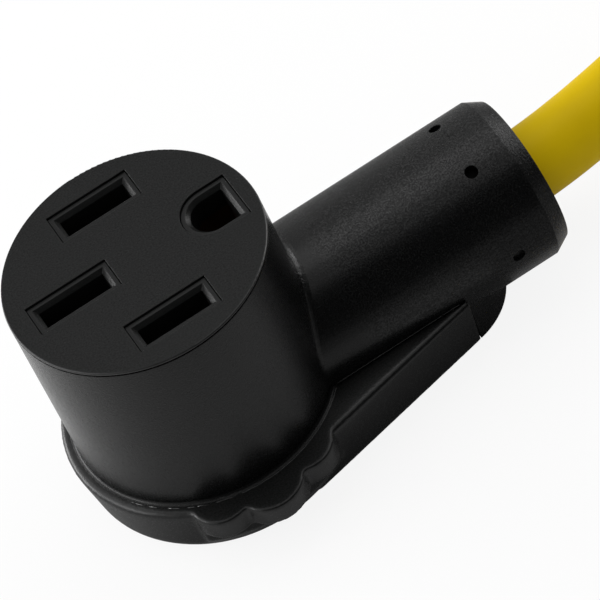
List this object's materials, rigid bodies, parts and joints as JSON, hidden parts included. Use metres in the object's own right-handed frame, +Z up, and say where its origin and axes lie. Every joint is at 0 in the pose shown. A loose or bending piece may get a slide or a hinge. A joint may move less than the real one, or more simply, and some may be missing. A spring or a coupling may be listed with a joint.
{
  "type": "power adapter lead",
  "caption": "Short caravan power adapter lead: a right-angle moulded socket with blade slots and a scalloped grip base, a thick round cord and a moulded plug.",
  "frame": {"origin": "centre of the socket head's axis on the flat underside of the grip base", "axes": "+X from the head's axis along the neck to the cord, +Z up out of the socket face, +Y across"},
  "size_m": [0.499, 0.099, 0.0675],
  "materials": {
    "housing_plastic": "fine-grained moulded black plastic",
    "base_plastic": "smooth moulded black plastic with rounded edges",
    "face_plastic": "matte dark grey plastic",
    "carrier_plastic": "matte black plastic",
    "contact_brass": "stamped brass strip",
    "spring_steel": "bare spring steel",
    "jumper_copper": "copper strap",
    "live_insulation": "black wire insulation",
    "neutral_insulation": "white wire insulation",
    "earth_insulation": "green wire insulation",
    "crimp_metal": "tinned crimp barrel",
    "bush_rubber": "soft black rubber",
    "cord_jacket": "satin yellow cord jacket",
    "plug_plastic": "fine-grained moulded black plastic",
    "relief_rubber": "soft black moulded rubber",
    "blade_brass": "bare brass blade"
  },
  "bodies": {
    "root": {"upper_housing": "housing_plastic", "grip_base": "base_plastic", "face_plate": "face_plastic", "contact_carrier": "carrier_plastic", "carrier_cap": "carrier_plastic", "live_contact_x": "contact_brass", "live_contact_y": "contact_brass", "neutral_contact": "contact_brass", "earth_contact": "contact_brass", "contact_springs": "spring_steel", "live_jumper": "jumper_copper", "live_wire": "live_insulation", "plug_live_wire": "live_insulation", "neutral_wire": "neutral_insulation", "plug_neutral_wire": "neutral_insulation", "earth_wire": "earth_insulation", "plug_earth_wire": "earth_insulation", "crimp_barrels": "crimp_metal", "plug_crimps": "crimp_metal", "cord_bush": "bush_rubber", "cord": "cord_jacket", "plug_body": "plug_plastic", "plug_blade_holder": "plug_plastic", "plug_strain_relief": "relief_rubber", "plug_live_blade": "blade_brass", "plug_neutral_blade": "blade_brass", "plug_earth_pin": "blade_brass"}
  },
  "joints": []
}
